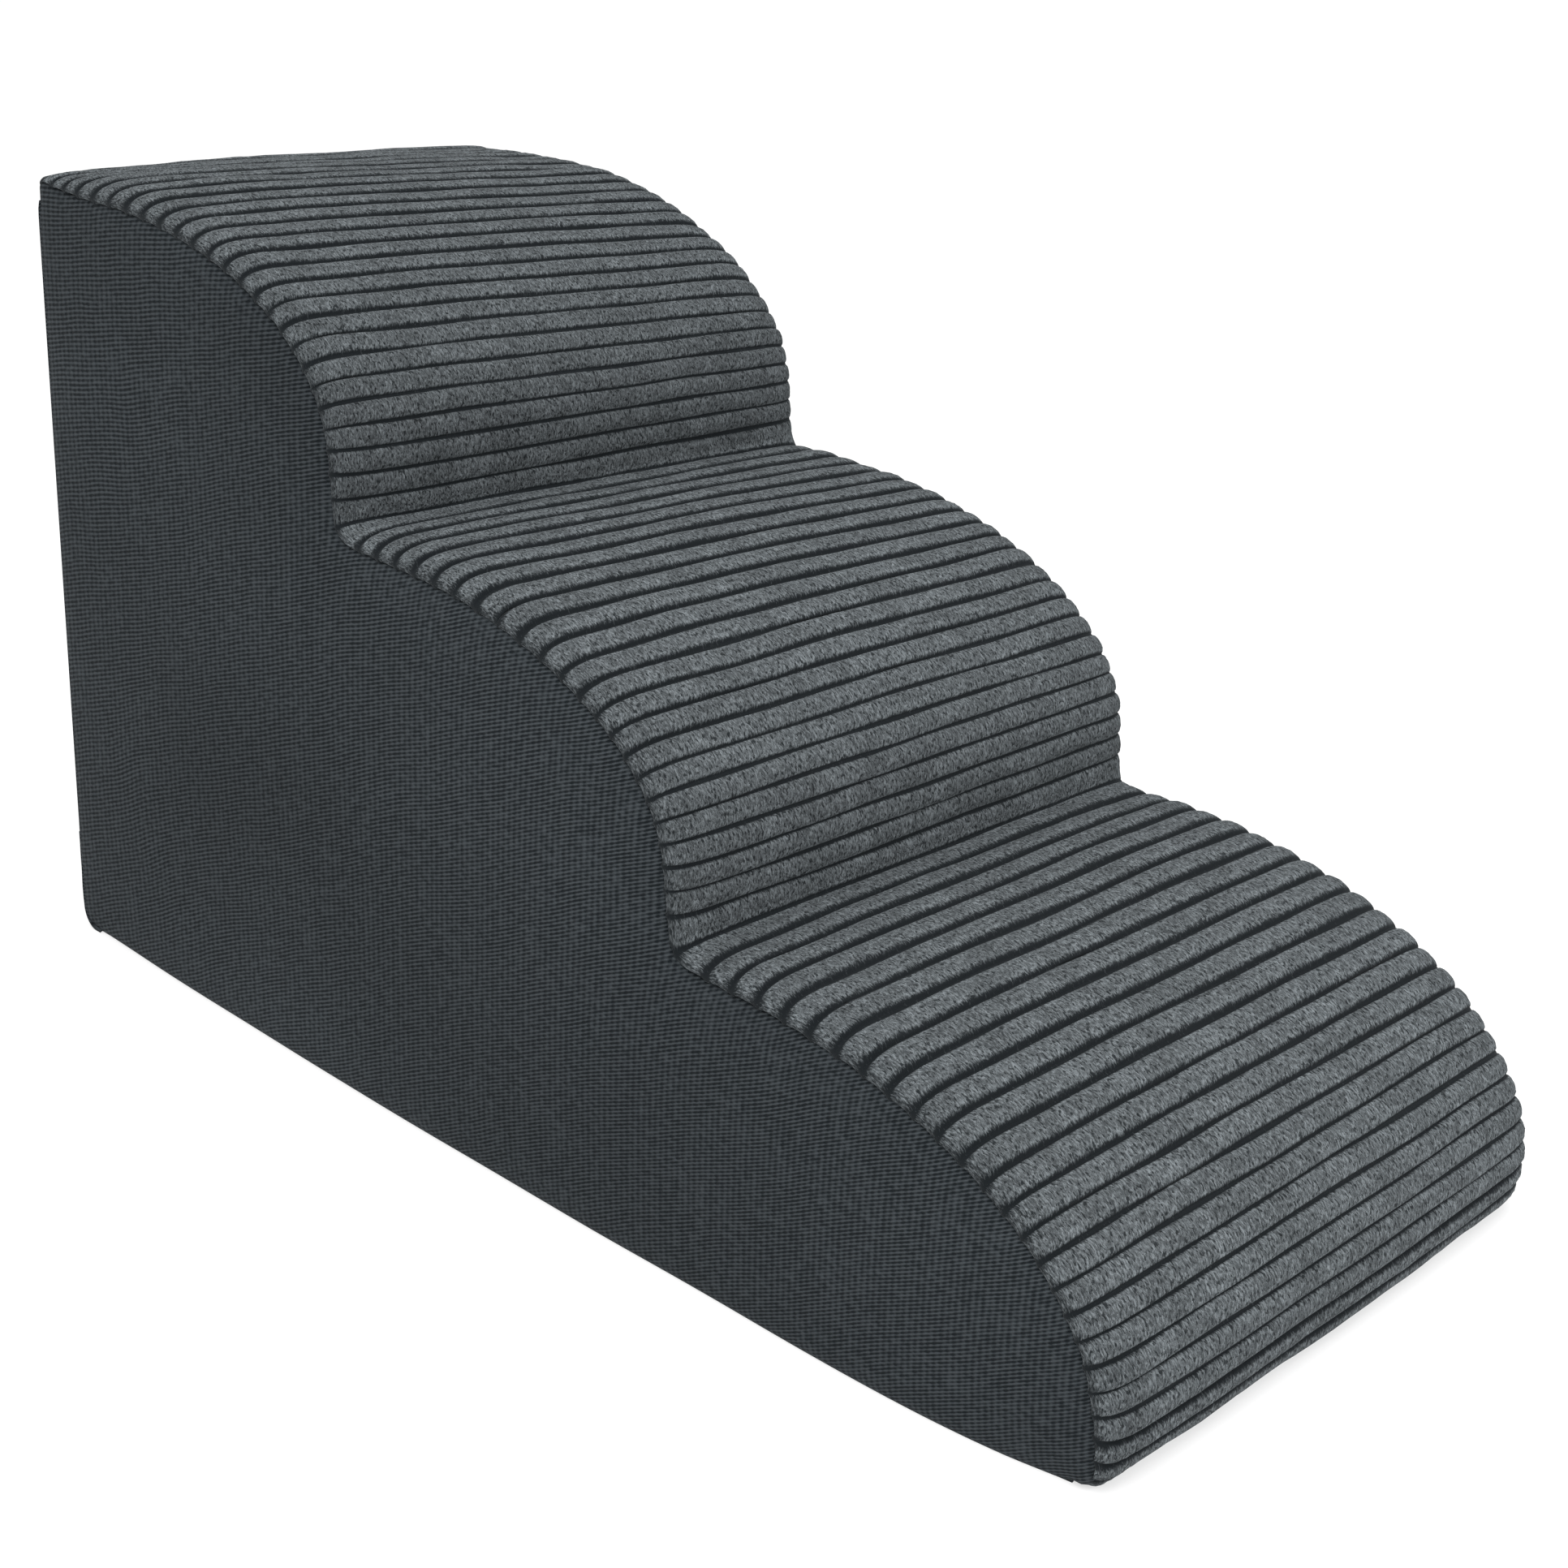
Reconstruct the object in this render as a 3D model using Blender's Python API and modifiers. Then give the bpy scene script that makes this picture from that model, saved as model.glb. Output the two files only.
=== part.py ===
"""Three-step foam dog ramp: a contour-cut foam block in a sewn, zipped fabric cover.

Frame: +Z up, the low step faces -Y, the width runs along X. The origin is at the
centre of the footprint, on the floor. Lengths are in metres.
"""
import math

import bmesh
import bpy

WIDTH = 0.280
# Steps, from the top one at the back to the low one at the front
TREADS = (0.262, 0.216, 0.212)
RISES = (0.138, 0.128, 0.134)
NOSE_RUN_SHARE = (0.84, 0.92, 0.88)    # part of each tread that the round nose takes
NOSE_DROP_SHARE = 0.79                 # part of each rise that the round nose takes
VALLEY_RADIUS = 0.012
BACK_TOP_RADIUS = 0.010
FOOT_RADIUS = 0.014
HEEL_RADIUS = 0.012
LIP = 0.004                            # straight margin at the end of a curved panel
NOSE_SEGMENTS = 18
CORNER_SEGMENTS = 5

# Fabric and gaps
GAP = 0.0003
CORDUROY = 0.006
WOVEN = 0.002
SEAM_INSET = 0.008                     # side panels stop this far inside the tread surface
SEAM_DEPTH = 0.007
THREAD_RADIUS = 0.0006
TAPE_THICKNESS = 0.0006
LABEL_SIZE = (0.030, 0.0005, 0.022)
LABEL_MARGIN = 0.004                   # from the left edge of the back
LABEL_LIFT = 0.022                     # above the zip

# Zip, horizontal across the back just above the floor
ZIP_HEIGHT = 0.040
ZIP_WINDOW = 0.016
COIL_LENGTH = 0.240
COIL_SIZE = (0.003, 0.0024)            # each row: height and depth
COIL_SPLIT = 0.001
COIL_BEVEL = 0.0006
TAPE_LENGTH = 0.260
TAPE_REACH = 0.024                     # from the middle of the zip to a tape's far edge
TAPE_SETBACK = 0.0007                  # tape edge behind the outer edge of its coil
SLIDER_SIZE = (0.011, 0.011)           # length and height
SLIDER_BEVEL = 0.0008
SLIDER_SINK = 0.0018                   # how deep its side walls reach into the cover
PLATE = 0.0012
PLATE_GAP = 0.0004                     # between the plate or side walls and the rows
CROWN_SIZE = (0.0068, 0.0018)          # length and height of the crown
CROWN_WALL = 0.0012                    # at the ends of the crown, beside the eye
CROWN_ROOF = 0.0010                    # outside the eye
CROWN_REACH = 0.0058                   # how far the slider's crown stands behind the cover
ZIP_TRAVEL = 0.225
SLIDER_REST_X = ZIP_TRAVEL / 2
PIVOT_REACH = 0.0036
PULL_SIZE = (0.030, 0.0012, 0.008)
PULL_BAR = 0.0006                      # half the width of the bar under the crown
PULL_EYE = (0.0006, 0.0060, 0.0048)    # start and end from the bar, height
PULL_WINDOW = (0.0100, 0.0265, 0.0044)
EDGE_BEVEL = 0.0004
STOP_LENGTH = 0.002
STOP_GAP = 0.0005
END_TAB_START = 0.1245
END_TAB_MARGIN = 0.0015
END_TAB_SIZE = (0.0010, 0.024)         # thickness and height
CUTTER_MARGIN = 0.004
SMOOTH_ANGLE = math.radians(40)

HALF = WIDTH / 2
BODY_LENGTH = sum(TREADS)
HEIGHT = sum(RISES)
FRONT = -(BODY_LENGTH + CROWN_REACH) / 2
BACK = FRONT + BODY_LENGTH
TREAD_TOP_EDGE = HEIGHT - BACK_TOP_RADIUS - LIP


def clear_scene():
    for item in list(bpy.data.objects):
        bpy.data.objects.remove(item, do_unlink=True)


def material(name, colour, roughness, metallic=0.0):
    made = bpy.data.materials.new(name)
    made.use_nodes = True
    shader = made.node_tree.nodes["Principled BSDF"]
    shader.inputs["Base Color"].default_value = (*colour, 1.0)
    shader.inputs["Roughness"].default_value = roughness
    shader.inputs["Metallic"].default_value = metallic
    return made


def collection(name):
    made = bpy.data.collections.new(name)
    bpy.context.scene.collection.children.link(made)
    return made


def arc(centre, radii, start, end, segments):
    """Points on an ellipse arc in the YZ plane; angles in degrees from +Y towards +Z."""
    points = []
    for step in range(segments + 1):
        angle = math.radians(start + (end - start) * step / segments)
        y = centre[0] + radii[0] * math.cos(angle)
        z = centre[1] + radii[1] * math.sin(angle)
        points.append((y, z))
    return points


def step_profile():
    """The tread surface as (y, z) points, from the back top edge to the lip under the foot."""
    corner = (BACK - BACK_TOP_RADIUS, HEIGHT - BACK_TOP_RADIUS)
    points = [(BACK, TREAD_TOP_EDGE)]
    points += arc(corner, (BACK_TOP_RADIUS, BACK_TOP_RADIUS), 0, 90, CORNER_SEGMENTS)
    y, z = BACK, HEIGHT
    last = len(TREADS) - 1
    for index, (tread, rise) in enumerate(zip(TREADS, RISES)):
        run = tread * NOSE_RUN_SHARE[index]
        drop = rise * NOSE_DROP_SHARE
        points += arc((y - tread + run, z - drop), (run, drop), 90, 180, NOSE_SEGMENTS)
        y -= tread
        z -= rise
        if index < last:
            valley = (y - VALLEY_RADIUS, z + VALLEY_RADIUS)
            points += arc(valley, (VALLEY_RADIUS, VALLEY_RADIUS), 0, -90, CORNER_SEGMENTS)
    foot = (FRONT + FOOT_RADIUS, FOOT_RADIUS)
    points += arc(foot, (FOOT_RADIUS, FOOT_RADIUS), 180, 270, CORNER_SEGMENTS)
    points.append((FRONT + FOOT_RADIUS + LIP, 0.0))
    return without_repeats(points)


def skirt_profile():
    """The back skirt as (y, z) points, from its lip under the base to its top edge."""
    heel = (BACK - HEEL_RADIUS, HEEL_RADIUS)
    points = [(BACK - HEEL_RADIUS - LIP, 0.0)]
    points += arc(heel, (HEEL_RADIUS, HEEL_RADIUS), -90, 0, CORNER_SEGMENTS)
    points.append((BACK, ZIP_HEIGHT - ZIP_WINDOW / 2))
    return points


def without_repeats(points):
    kept = [points[0]]
    for point in points[1:]:
        if math.dist(point, kept[-1]) > 1e-6:
            kept.append(point)
    return kept


def inset(points, distance):
    """The open profile moved by a distance towards the inside of the block."""
    moved = []
    for index, point in enumerate(points):
        before = points[max(index - 1, 0)]
        after = points[min(index + 1, len(points) - 1)]
        one = unit(before, point) if index > 0 else unit(point, after)
        two = unit(point, after) if index < len(points) - 1 else one
        bisector = (one[0] + two[0], one[1] + two[1])
        length = math.hypot(*bisector)
        tangent = (bisector[0] / length, bisector[1] / length)
        reach = distance / (tangent[0] * one[0] + tangent[1] * one[1])
        moved.append((point[0] - tangent[1] * reach, point[1] + tangent[0] * reach))
    return moved


def unit(start, end):
    length = math.dist(start, end)
    return ((end[0] - start[0]) / length, (end[1] - start[1]) / length)


def block_outline(top_inset, back_inset, base_inset):
    """A closed outline inside the cover, given its inset from each side of it."""
    top = inset(step_profile(), top_inset)
    lip_end = FRONT + FOOT_RADIUS + LIP + GAP
    heel = (BACK - HEEL_RADIUS, HEEL_RADIUS)
    radii = (HEEL_RADIUS - back_inset, HEEL_RADIUS - base_inset)
    shoulder = TREAD_TOP_EDGE - GAP
    outline = top + [(lip_end, top_inset), (lip_end, base_inset)]
    outline += arc(heel, radii, -90, 0, CORNER_SEGMENTS)
    outline += [(BACK - back_inset, shoulder), (BACK - top_inset, shoulder)]
    return without_repeats(outline)


def add_object(name, data, home, finish):
    made = bpy.data.objects.new(name, data)
    home.objects.link(made)
    data.materials.append(finish)
    return made


def outline_solid(name, outline, x, thickness, home, finish):
    """A flat outline in the YZ plane, extruded evenly about the given x."""
    curve = bpy.data.curves.new(name, "CURVE")
    curve.dimensions = "2D"
    curve.fill_mode = "BOTH"
    curve.extrude = thickness / 2
    spline = curve.splines.new("POLY")
    spline.points.add(len(outline) - 1)
    for point, (y, z) in zip(spline.points, outline):
        point.co = (y, z, 0.0, 1.0)
    spline.use_cyclic_u = True
    made = add_object(name, curve, home, finish)
    made.rotation_euler = (math.pi / 2, 0.0, math.pi / 2)
    made.location = (x, 0.0, 0.0)
    return made


def strip(name, points, thickness, home, finish):
    """A panel over the whole width that follows a profile, thickened inwards."""
    sheet = bmesh.new()
    left = [sheet.verts.new((-HALF, y, z)) for y, z in points]
    right = [sheet.verts.new((HALF, y, z)) for y, z in points]
    for index in range(len(points) - 1):
        sheet.faces.new((left[index], left[index + 1], right[index + 1], right[index]))
    mesh = bpy.data.meshes.new(name)
    sheet.to_mesh(mesh)
    sheet.free()
    mesh.shade_smooth()
    mesh.set_sharp_from_angle(angle=SMOOTH_ANGLE)
    made = add_object(name, mesh, home, finish)
    solid = made.modifiers.new("Thickness", "SOLIDIFY")
    solid.thickness = thickness
    solid.offset = -1.0
    solid.use_even_offset = True
    return made


def thread(name, x, home, finish):
    """A seam thread along the side edge of the tread panel."""
    points = inset(step_profile(), SEAM_DEPTH)
    curve = bpy.data.curves.new(name, "CURVE")
    curve.dimensions = "3D"
    curve.bevel_depth = THREAD_RADIUS
    curve.bevel_resolution = 2
    curve.use_fill_caps = True
    spline = curve.splines.new("POLY")
    spline.points.add(len(points) - 1)
    for point, (y, z) in zip(spline.points, points):
        point.co = (x, y, z, 1.0)
    return add_object(name, curve, home, finish)


def box(name, low, high, home, finish, bevel=0.0, segments=2, origin=None):
    """A block between two corners, with rounded edges if a bevel is given."""
    size = [b - a for a, b in zip(low, high)]
    centre = [(a + b) / 2 for a, b in zip(low, high)]
    origin = origin or centre
    shape = bmesh.new()
    bmesh.ops.create_cube(shape, size=1.0)
    for vert in shape.verts:
        vert.co = [centre[i] - origin[i] + vert.co[i] * size[i] for i in range(3)]
    mesh = bpy.data.meshes.new(name)
    shape.to_mesh(mesh)
    shape.free()
    made = add_object(name, mesh, home, finish)
    made.location = origin
    if bevel:
        edges = made.modifiers.new("Rounded edges", "BEVEL")
        edges.width = bevel
        edges.segments = segments
        edges.limit_method = "ANGLE"
    return made


def cut(target, cutter):
    hole = target.modifiers.new(cutter.name, "BOOLEAN")
    hole.operation = "DIFFERENCE"
    hole.object = cutter
    cutter.hide_render = True
    cutter.display_type = "WIRE"


def add_foam(parts):
    finish = material("foam", (0.82, 0.80, 0.74), 0.95)
    back_inset = WOVEN + 2 * GAP + TAPE_THICKNESS + GAP
    outline = block_outline(CORDUROY + GAP, back_inset, WOVEN + GAP)
    outline_solid("foam_core", outline, 0.0, WIDTH - 2 * (WOVEN + GAP), parts, finish)


def add_cover(parts):
    corduroy = material("corduroy", (0.093, 0.103, 0.109), 0.9)
    woven = material("woven", (0.038, 0.045, 0.050), 0.85)
    base = material("base_fabric", (0.030, 0.033, 0.035), 0.8)
    strip("tread_panel", step_profile(), CORDUROY, parts, corduroy)
    side = block_outline(SEAM_INSET, WOVEN + GAP, WOVEN + GAP)
    for name, sign in (("side_panel_left", -1), ("side_panel_right", 1)):
        outline_solid(name, side, sign * (HALF - WOVEN / 2), WOVEN, parts, woven)
    low = (-HALF, BACK - WOVEN, ZIP_HEIGHT + ZIP_WINDOW / 2)
    high = (HALF, BACK, TREAD_TOP_EDGE - GAP)
    box("back_panel", low, high, parts, woven)
    strip("back_skirt", skirt_profile(), WOVEN, parts, woven)
    low = (-HALF, FRONT + FOOT_RADIUS + LIP + GAP, 0.0)
    high = (HALF, BACK - HEEL_RADIUS - LIP - GAP, WOVEN)
    box("base_panel", low, high, parts, base)


def add_sewing(parts):
    sewing = material("thread", (0.012, 0.014, 0.016), 0.7)
    satin = material("label", (0.75, 0.75, 0.73), 0.5)
    for name, sign in (("side_seam_left", -1), ("side_seam_right", 1)):
        thread(name, sign * (HALF - THREAD_RADIUS), parts, sewing)
    low = (-HALF + LABEL_MARGIN, BACK + GAP, ZIP_HEIGHT + LABEL_LIFT)
    high = [edge + size for edge, size in zip(low, LABEL_SIZE)]
    box("care_label", low, high, parts, satin)


def add_zip_rows(parts):
    tape = material("zip_tape", (0.020, 0.022, 0.024), 0.85)
    nylon = material("zip_coil", (0.025, 0.027, 0.030), 0.45)
    tape_back = BACK - WOVEN - GAP
    coil_low = tape_back + GAP
    for name, sign in (("upper", 1), ("lower", -1)):
        near = ZIP_HEIGHT + sign * (COIL_SPLIT / 2 + TAPE_SETBACK)
        far = ZIP_HEIGHT + sign * TAPE_REACH
        low = (-TAPE_LENGTH / 2, tape_back - TAPE_THICKNESS, min(near, far))
        high = (TAPE_LENGTH / 2, tape_back, max(near, far))
        box("zip_tape_" + name, low, high, parts, tape)
        near = ZIP_HEIGHT + sign * COIL_SPLIT / 2
        far = near + sign * COIL_SIZE[0]
        low = (-COIL_LENGTH / 2, coil_low, min(near, far))
        high = (COIL_LENGTH / 2, coil_low + COIL_SIZE[1], max(near, far))
        box("zip_coil_" + name, low, high, parts, nylon, COIL_BEVEL)


def add_zip_ends(parts):
    metal = material("stop_metal", (0.35, 0.35, 0.36), 0.35, 1.0)
    woven = material("end_tab", (0.038, 0.045, 0.050), 0.85)
    coil_low = BACK - WOVEN
    depth = COIL_SIZE[1] + GAP
    reach = COIL_SPLIT / 2 + COIL_SIZE[0] + STOP_GAP
    start = COIL_LENGTH / 2 + STOP_GAP
    for name, sign in (("upper", 1), ("lower", -1)):
        near = ZIP_HEIGHT + sign * COIL_SPLIT / 2
        far = ZIP_HEIGHT + sign * reach
        low = (start, coil_low, min(near, far))
        high = (start + STOP_LENGTH, coil_low + depth, max(near, far))
        box("top_stop_" + name, low, high, parts, metal, EDGE_BEVEL)
    low = (-start - STOP_LENGTH, coil_low, ZIP_HEIGHT - reach)
    high = (-start, coil_low + depth, ZIP_HEIGHT + reach)
    box("bottom_stop", low, high, parts, metal, EDGE_BEVEL)
    for name, sign in (("left", -1), ("right", 1)):
        near = sign * END_TAB_START
        far = sign * (HALF - END_TAB_MARGIN)
        low = (min(near, far), BACK + GAP, ZIP_HEIGHT - END_TAB_SIZE[1] / 2)
        high = (max(near, far), BACK + GAP + END_TAB_SIZE[0], ZIP_HEIGHT + END_TAB_SIZE[1] / 2)
        box("zip_end_tab_" + name, low, high, parts, woven, EDGE_BEVEL)


def add_slider(parts, cutters):
    """The slider body: a plate over the closed rows, two side walls and a crown for the pull."""
    metal = material("slider_metal", (0.30, 0.31, 0.32), 0.35, 1.0)
    origin = (SLIDER_REST_X, BACK + PIVOT_REACH, ZIP_HEIGHT)
    half_x, half_z = SLIDER_SIZE[0] / 2, SLIDER_SIZE[1] / 2
    outer_face = BACK - WOVEN + COIL_SIZE[1] + PLATE_GAP + PLATE
    low = (origin[0] - half_x, BACK - SLIDER_SINK, ZIP_HEIGHT - half_z)
    high = (origin[0] + half_x, outer_face, ZIP_HEIGHT + half_z)
    slider = box("zip_slider", low, high, parts, metal, SLIDER_BEVEL, 3, origin)
    channel_half = COIL_SPLIT / 2 + COIL_SIZE[0] + PLATE_GAP
    reach = half_x + CUTTER_MARGIN
    low = (origin[0] - reach, BACK - SLIDER_SINK - CUTTER_MARGIN, ZIP_HEIGHT - channel_half)
    high = (origin[0] + reach, outer_face - PLATE, ZIP_HEIGHT + channel_half)
    cut(slider, box("slider_channel", low, high, cutters, metal))
    half_x, half_z = CROWN_SIZE[0] / 2, CROWN_SIZE[1] / 2
    low = (origin[0] - half_x, outer_face - EDGE_BEVEL, ZIP_HEIGHT - half_z)
    high = (origin[0] + half_x, BACK + CROWN_REACH, ZIP_HEIGHT + half_z)
    crown = box("slider_crown", low, high, cutters, metal, EDGE_BEVEL)
    join = slider.modifiers.new("Crown", "BOOLEAN")
    join.operation = "UNION"
    join.object = crown
    crown.hide_render = True
    crown.display_type = "WIRE"
    half_x -= CROWN_WALL
    half_z += CROWN_WALL
    low = (origin[0] - half_x, outer_face + GAP, ZIP_HEIGHT - half_z)
    high = (origin[0] + half_x, BACK + CROWN_REACH - CROWN_ROOF, ZIP_HEIGHT + half_z)
    cut(slider, box("crown_eye", low, high, cutters, metal))
    return origin


def add_pull(parts, cutters, origin):
    """The pull tab: it turns about a vertical bar that passes under the slider's crown."""
    metal = material("pull_metal", (0.28, 0.29, 0.30), 0.35, 1.0)
    pivot = bpy.data.objects.new("pull_pivot", None)
    pivot.location = origin
    parts.objects.link(pivot)
    length, depth, height = PULL_SIZE
    low = (origin[0] - length, origin[1] - depth / 2, ZIP_HEIGHT - height / 2)
    high = (origin[0] + PULL_BAR, origin[1] + depth / 2, ZIP_HEIGHT + height / 2)
    pull = box("zip_pull", low, high, parts, metal, EDGE_BEVEL, 2, origin)
    pull.parent = pivot
    pull.location = (0.0, 0.0, 0.0)
    for name, (start, end, opening) in (("pull_eye", PULL_EYE), ("pull_window", PULL_WINDOW)):
        low = (origin[0] - end, origin[1] - CUTTER_MARGIN, ZIP_HEIGHT - opening / 2)
        high = (origin[0] - start, origin[1] + CUTTER_MARGIN, ZIP_HEIGHT + opening / 2)
        cut(pull, box(name, low, high, cutters, metal))


def build():
    clear_scene()
    parts = collection("dog_ramp")
    cutters = collection("cutters")
    add_foam(parts)
    add_cover(parts)
    add_sewing(parts)
    add_zip_rows(parts)
    add_zip_ends(parts)
    origin = add_slider(parts, cutters)
    add_pull(parts, cutters, origin)


build()
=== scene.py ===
"""Looks of a three-step foam dog ramp: ribbed corduroy cover, woven sides, zipped back."""
import math

import bmesh
import bpy
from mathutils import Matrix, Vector, noise
from mathutils.geometry import delaunay_2d_cdt


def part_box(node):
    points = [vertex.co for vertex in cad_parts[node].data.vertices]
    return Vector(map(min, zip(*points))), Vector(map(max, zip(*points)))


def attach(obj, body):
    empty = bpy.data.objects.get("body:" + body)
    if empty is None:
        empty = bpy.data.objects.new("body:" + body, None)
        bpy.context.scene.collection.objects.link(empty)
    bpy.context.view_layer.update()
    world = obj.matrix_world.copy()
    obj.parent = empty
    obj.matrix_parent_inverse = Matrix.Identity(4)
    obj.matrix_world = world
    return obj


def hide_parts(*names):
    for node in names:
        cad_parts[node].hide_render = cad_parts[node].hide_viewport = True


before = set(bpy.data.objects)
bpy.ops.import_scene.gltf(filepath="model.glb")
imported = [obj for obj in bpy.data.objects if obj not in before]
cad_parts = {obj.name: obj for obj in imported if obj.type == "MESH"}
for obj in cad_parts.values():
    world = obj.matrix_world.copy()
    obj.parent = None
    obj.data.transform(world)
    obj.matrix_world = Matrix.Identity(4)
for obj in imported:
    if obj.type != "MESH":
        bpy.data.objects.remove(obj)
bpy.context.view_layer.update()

MM = 0.001
# The block, from the top step down, as the CAD has it
TREADS = (0.262, 0.216, 0.212)
RISES = (0.138, 0.128, 0.134)
NOSE_RUN_SHARE = (0.84, 0.92, 0.88)   # how much of each tread its rounded nose takes
NOSE_DROP_SHARE = 0.79                # how much of each rise it takes
HEEL_RADIUS = 12 * MM                 # long bottom edge at the back

# Roundings of the cover: sharper than the CAD's in the valleys and at the top, longer at the foot
VALLEY_RADIUS = 6 * MM
BACK_TOP_RADIUS = 7 * MM
FOOT_RUN = 15 * MM
FOOT_RISE = 28 * MM
LIP = 4 * MM                          # turned under the foot, and under the heel
BACK_LIP = 7 * MM                     # turned down the back
SEAM_INSET = 8 * MM                   # side seam, in from the tread surface

# Corduroy ribs
RIBS = (27, 23, 25)                   # on each step, from the top
RIB_HEIGHT = 2.4 * MM
GROUND_SHARE = 0.05                   # bare ground on each side of a rib, by its pitch
FLAT_STRETCH = 0.45                   # how much wider a rib is on the flats than on the fronts
TOP_SKEW = 0.12                       # lean of the ribs across the top step
MIDDLE_SKEW = 0.05
FRONT_PAINTED_SHADE = (0.36, 0.22, 0.08)        # painted shade: how much darker the pile is painted on each steep front

# How the cover is pulled over the foam
CROWN = 1.6 * MM                      # rise at the middle of the width
EDGE_REACH = 21 * MM                  # width of the rounded long edge
EDGE_DROP = 8.0 * MM                  # how far that edge turns down
EDGE_POWER = 2.4                      # squareness of the round, 2 for an ellipse
VALLEY_FALL = 0.7                     # share of the drop that is left in a valley
END_PULL = 3.4 * MM                   # the cover's two ends are drawn in by the panels
FLOOR_BULGE = 11.0 * MM               # the sides stand out most at the floor

# Woven cloth: thread spacing, and how the rows and columns of the side cloth run
WEFT_PITCH = 1.8 * MM
WARP_PITCH = 3.3 * MM
SIDE_WARP_PITCH = 3.6 * MM
ROW_LEAN = 0.467                      # rows climb toward the front,
ROW_FAN = -0.733                      # less so higher up,
ROW_CURVE = -0.45                     # and less so toward the back
COLUMN_FAN = 0.9                      # columns close up toward the front
WEAVE_DARK = (0.0050, 0.0070, 0.0085)
WEAVE_LIGHT = (0.0400, 0.0465, 0.0515)
CLOTH = 1.2 * MM                      # thickness of the woven panels
PANEL_SPACING = 5 * MM                # between mesh points on the side panels

# Zip and sewing
COIL_PITCH = 1.5 * MM
COIL_WIRE = 0.34 * MM                 # radius
COIL_STEPS = 10                       # points on each turn
STITCH = 2.6 * MM
STITCH_GAP = 0.9 * MM
STITCH_THREAD = 0.32 * MM             # radius
TAB_MARGIN = 2.2 * MM                 # stitching, in from the edge of an end tab
ZIP_MARGIN = 3 * MM                   # stitching, out from the edge of the zip opening
DOT_PITCH = 15 * MM

tread_low, tread_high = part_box("tread_panel")
HALF = tread_high.x
FRONT = tread_low.y
BACK = tread_high.y
HEIGHT = tread_high.z
HEEL = (BACK - HEEL_RADIUS, HEEL_RADIUS)
ZIP_Z = (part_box("zip_coil_upper")[0].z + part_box("zip_coil_lower")[1].z) / 2
collection = bpy.context.scene.collection


# ---------------------------------------------------------------- profile
def arc(centre, radii, start, end, segments):
    """Points on a stretch of an ellipse, from one angle to another in degrees."""
    points = []
    for step in range(segments + 1):
        angle = math.radians(start + (end - start) * step / segments)
        points.append((centre[0] + radii[0] * math.cos(angle), centre[1] + radii[1] * math.sin(angle)))
    return points


def step_profile():
    """The tread surface from the back top edge to the foot, and the valley points on it."""
    corner = (BACK - BACK_TOP_RADIUS, HEIGHT - BACK_TOP_RADIUS)
    points = [(BACK, HEIGHT - BACK_TOP_RADIUS - BACK_LIP)]
    points += arc(corner, (BACK_TOP_RADIUS,) * 2, 0, 90, 14)
    valleys = []
    y, z = BACK, HEIGHT
    for tread, rise, run_share in zip(TREADS, RISES, NOSE_RUN_SHARE):
        run = tread * run_share
        drop = rise * NOSE_DROP_SHARE
        points += arc((y - tread + run, z - drop), (run, drop), 90, 180, 70)
        y -= tread
        z -= rise
        if len(valleys) < len(TREADS) - 1:
            valleys.append((y, z))
            valley = (y - VALLEY_RADIUS, z + VALLEY_RADIUS)
            points += arc(valley, (VALLEY_RADIUS,) * 2, 0, -90, 14)
    foot = (FRONT + FOOT_RUN, FOOT_RISE)
    points += arc(foot, (FOOT_RUN, FOOT_RISE), 180, 270, 22)
    points.append((FRONT + FOOT_RUN + LIP, 0.0))
    kept = [points[0]]
    for point in points[1:]:
        if math.dist(point, kept[-1]) > 1e-6:
            kept.append(point)
    return kept, valleys


class Path:
    """A (y, z) line with places by distance along it."""

    def __init__(self, points):
        self.points = points
        self.lengths = [0.0]
        for a, b in zip(points, points[1:]):
            self.lengths.append(self.lengths[-1] + math.dist(a, b))
        self.total = self.lengths[-1]

    def at(self, s):
        """The point at distance s."""
        s = min(max(s, 0.0), self.total)
        low, high = 0, len(self.lengths) - 1
        while high - low > 1:
            middle = (low + high) // 2
            if self.lengths[middle] <= s:
                low = middle
            else:
                high = middle
        span = self.lengths[low + 1] - self.lengths[low]
        share = (s - self.lengths[low]) / span if span else 0.0
        a, b = self.points[low], self.points[low + 1]
        return (a[0] + (b[0] - a[0]) * share, a[1] + (b[1] - a[1]) * share)

    def normal(self, s, reach=2.5 * MM):
        """Unit vector out of the block, evened out over a reach to both sides."""
        a, b = self.at(s - reach), self.at(s + reach)
        length = math.dist(a, b) or 1.0
        return ((b[1] - a[1]) / length, -(b[0] - a[0]) / length)

    def nearest(self, point):
        """Distance along the path of its own point nearest to a given one."""
        best = min(range(len(self.points)), key=lambda i: math.dist(self.points[i], point))
        return self.lengths[best]


def offset_line(path, full_distance, spacing, eased=False, least=0.0):
    """The path moved by a distance into the block, or by the share of it that the cover rolls."""
    count = int(path.total / spacing)
    points = []
    for index in range(count + 1):
        s = path.total * index / count
        distance = max(least, full_distance * (edge_share(s) if eased else 1.0))
        y, z = path.at(s)
        ny, nz = path.normal(s, max(2.5 * MM, distance * 0.8))
        points.append((y - ny * distance, z - nz * distance))
    return points


profile_points, valley_points = step_profile()
profile = Path(profile_points)
VALLEY_S = [profile.nearest(point) for point in valley_points]        # where the valleys are along it


def smooth_noise(x, y, z, scale, seed=0.0):
    return noise.noise(Vector((x / scale + seed, y / scale - seed, z / scale + 2 * seed)))


def near(distance, reach):
    """1 at an edge, fading to 0 away from it."""
    return math.exp(-distance / reach)


def bell(distance, reach):
    """1 at a place, fading to 0 on both sides of it."""
    return math.exp(-(distance / reach) ** 2)


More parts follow.
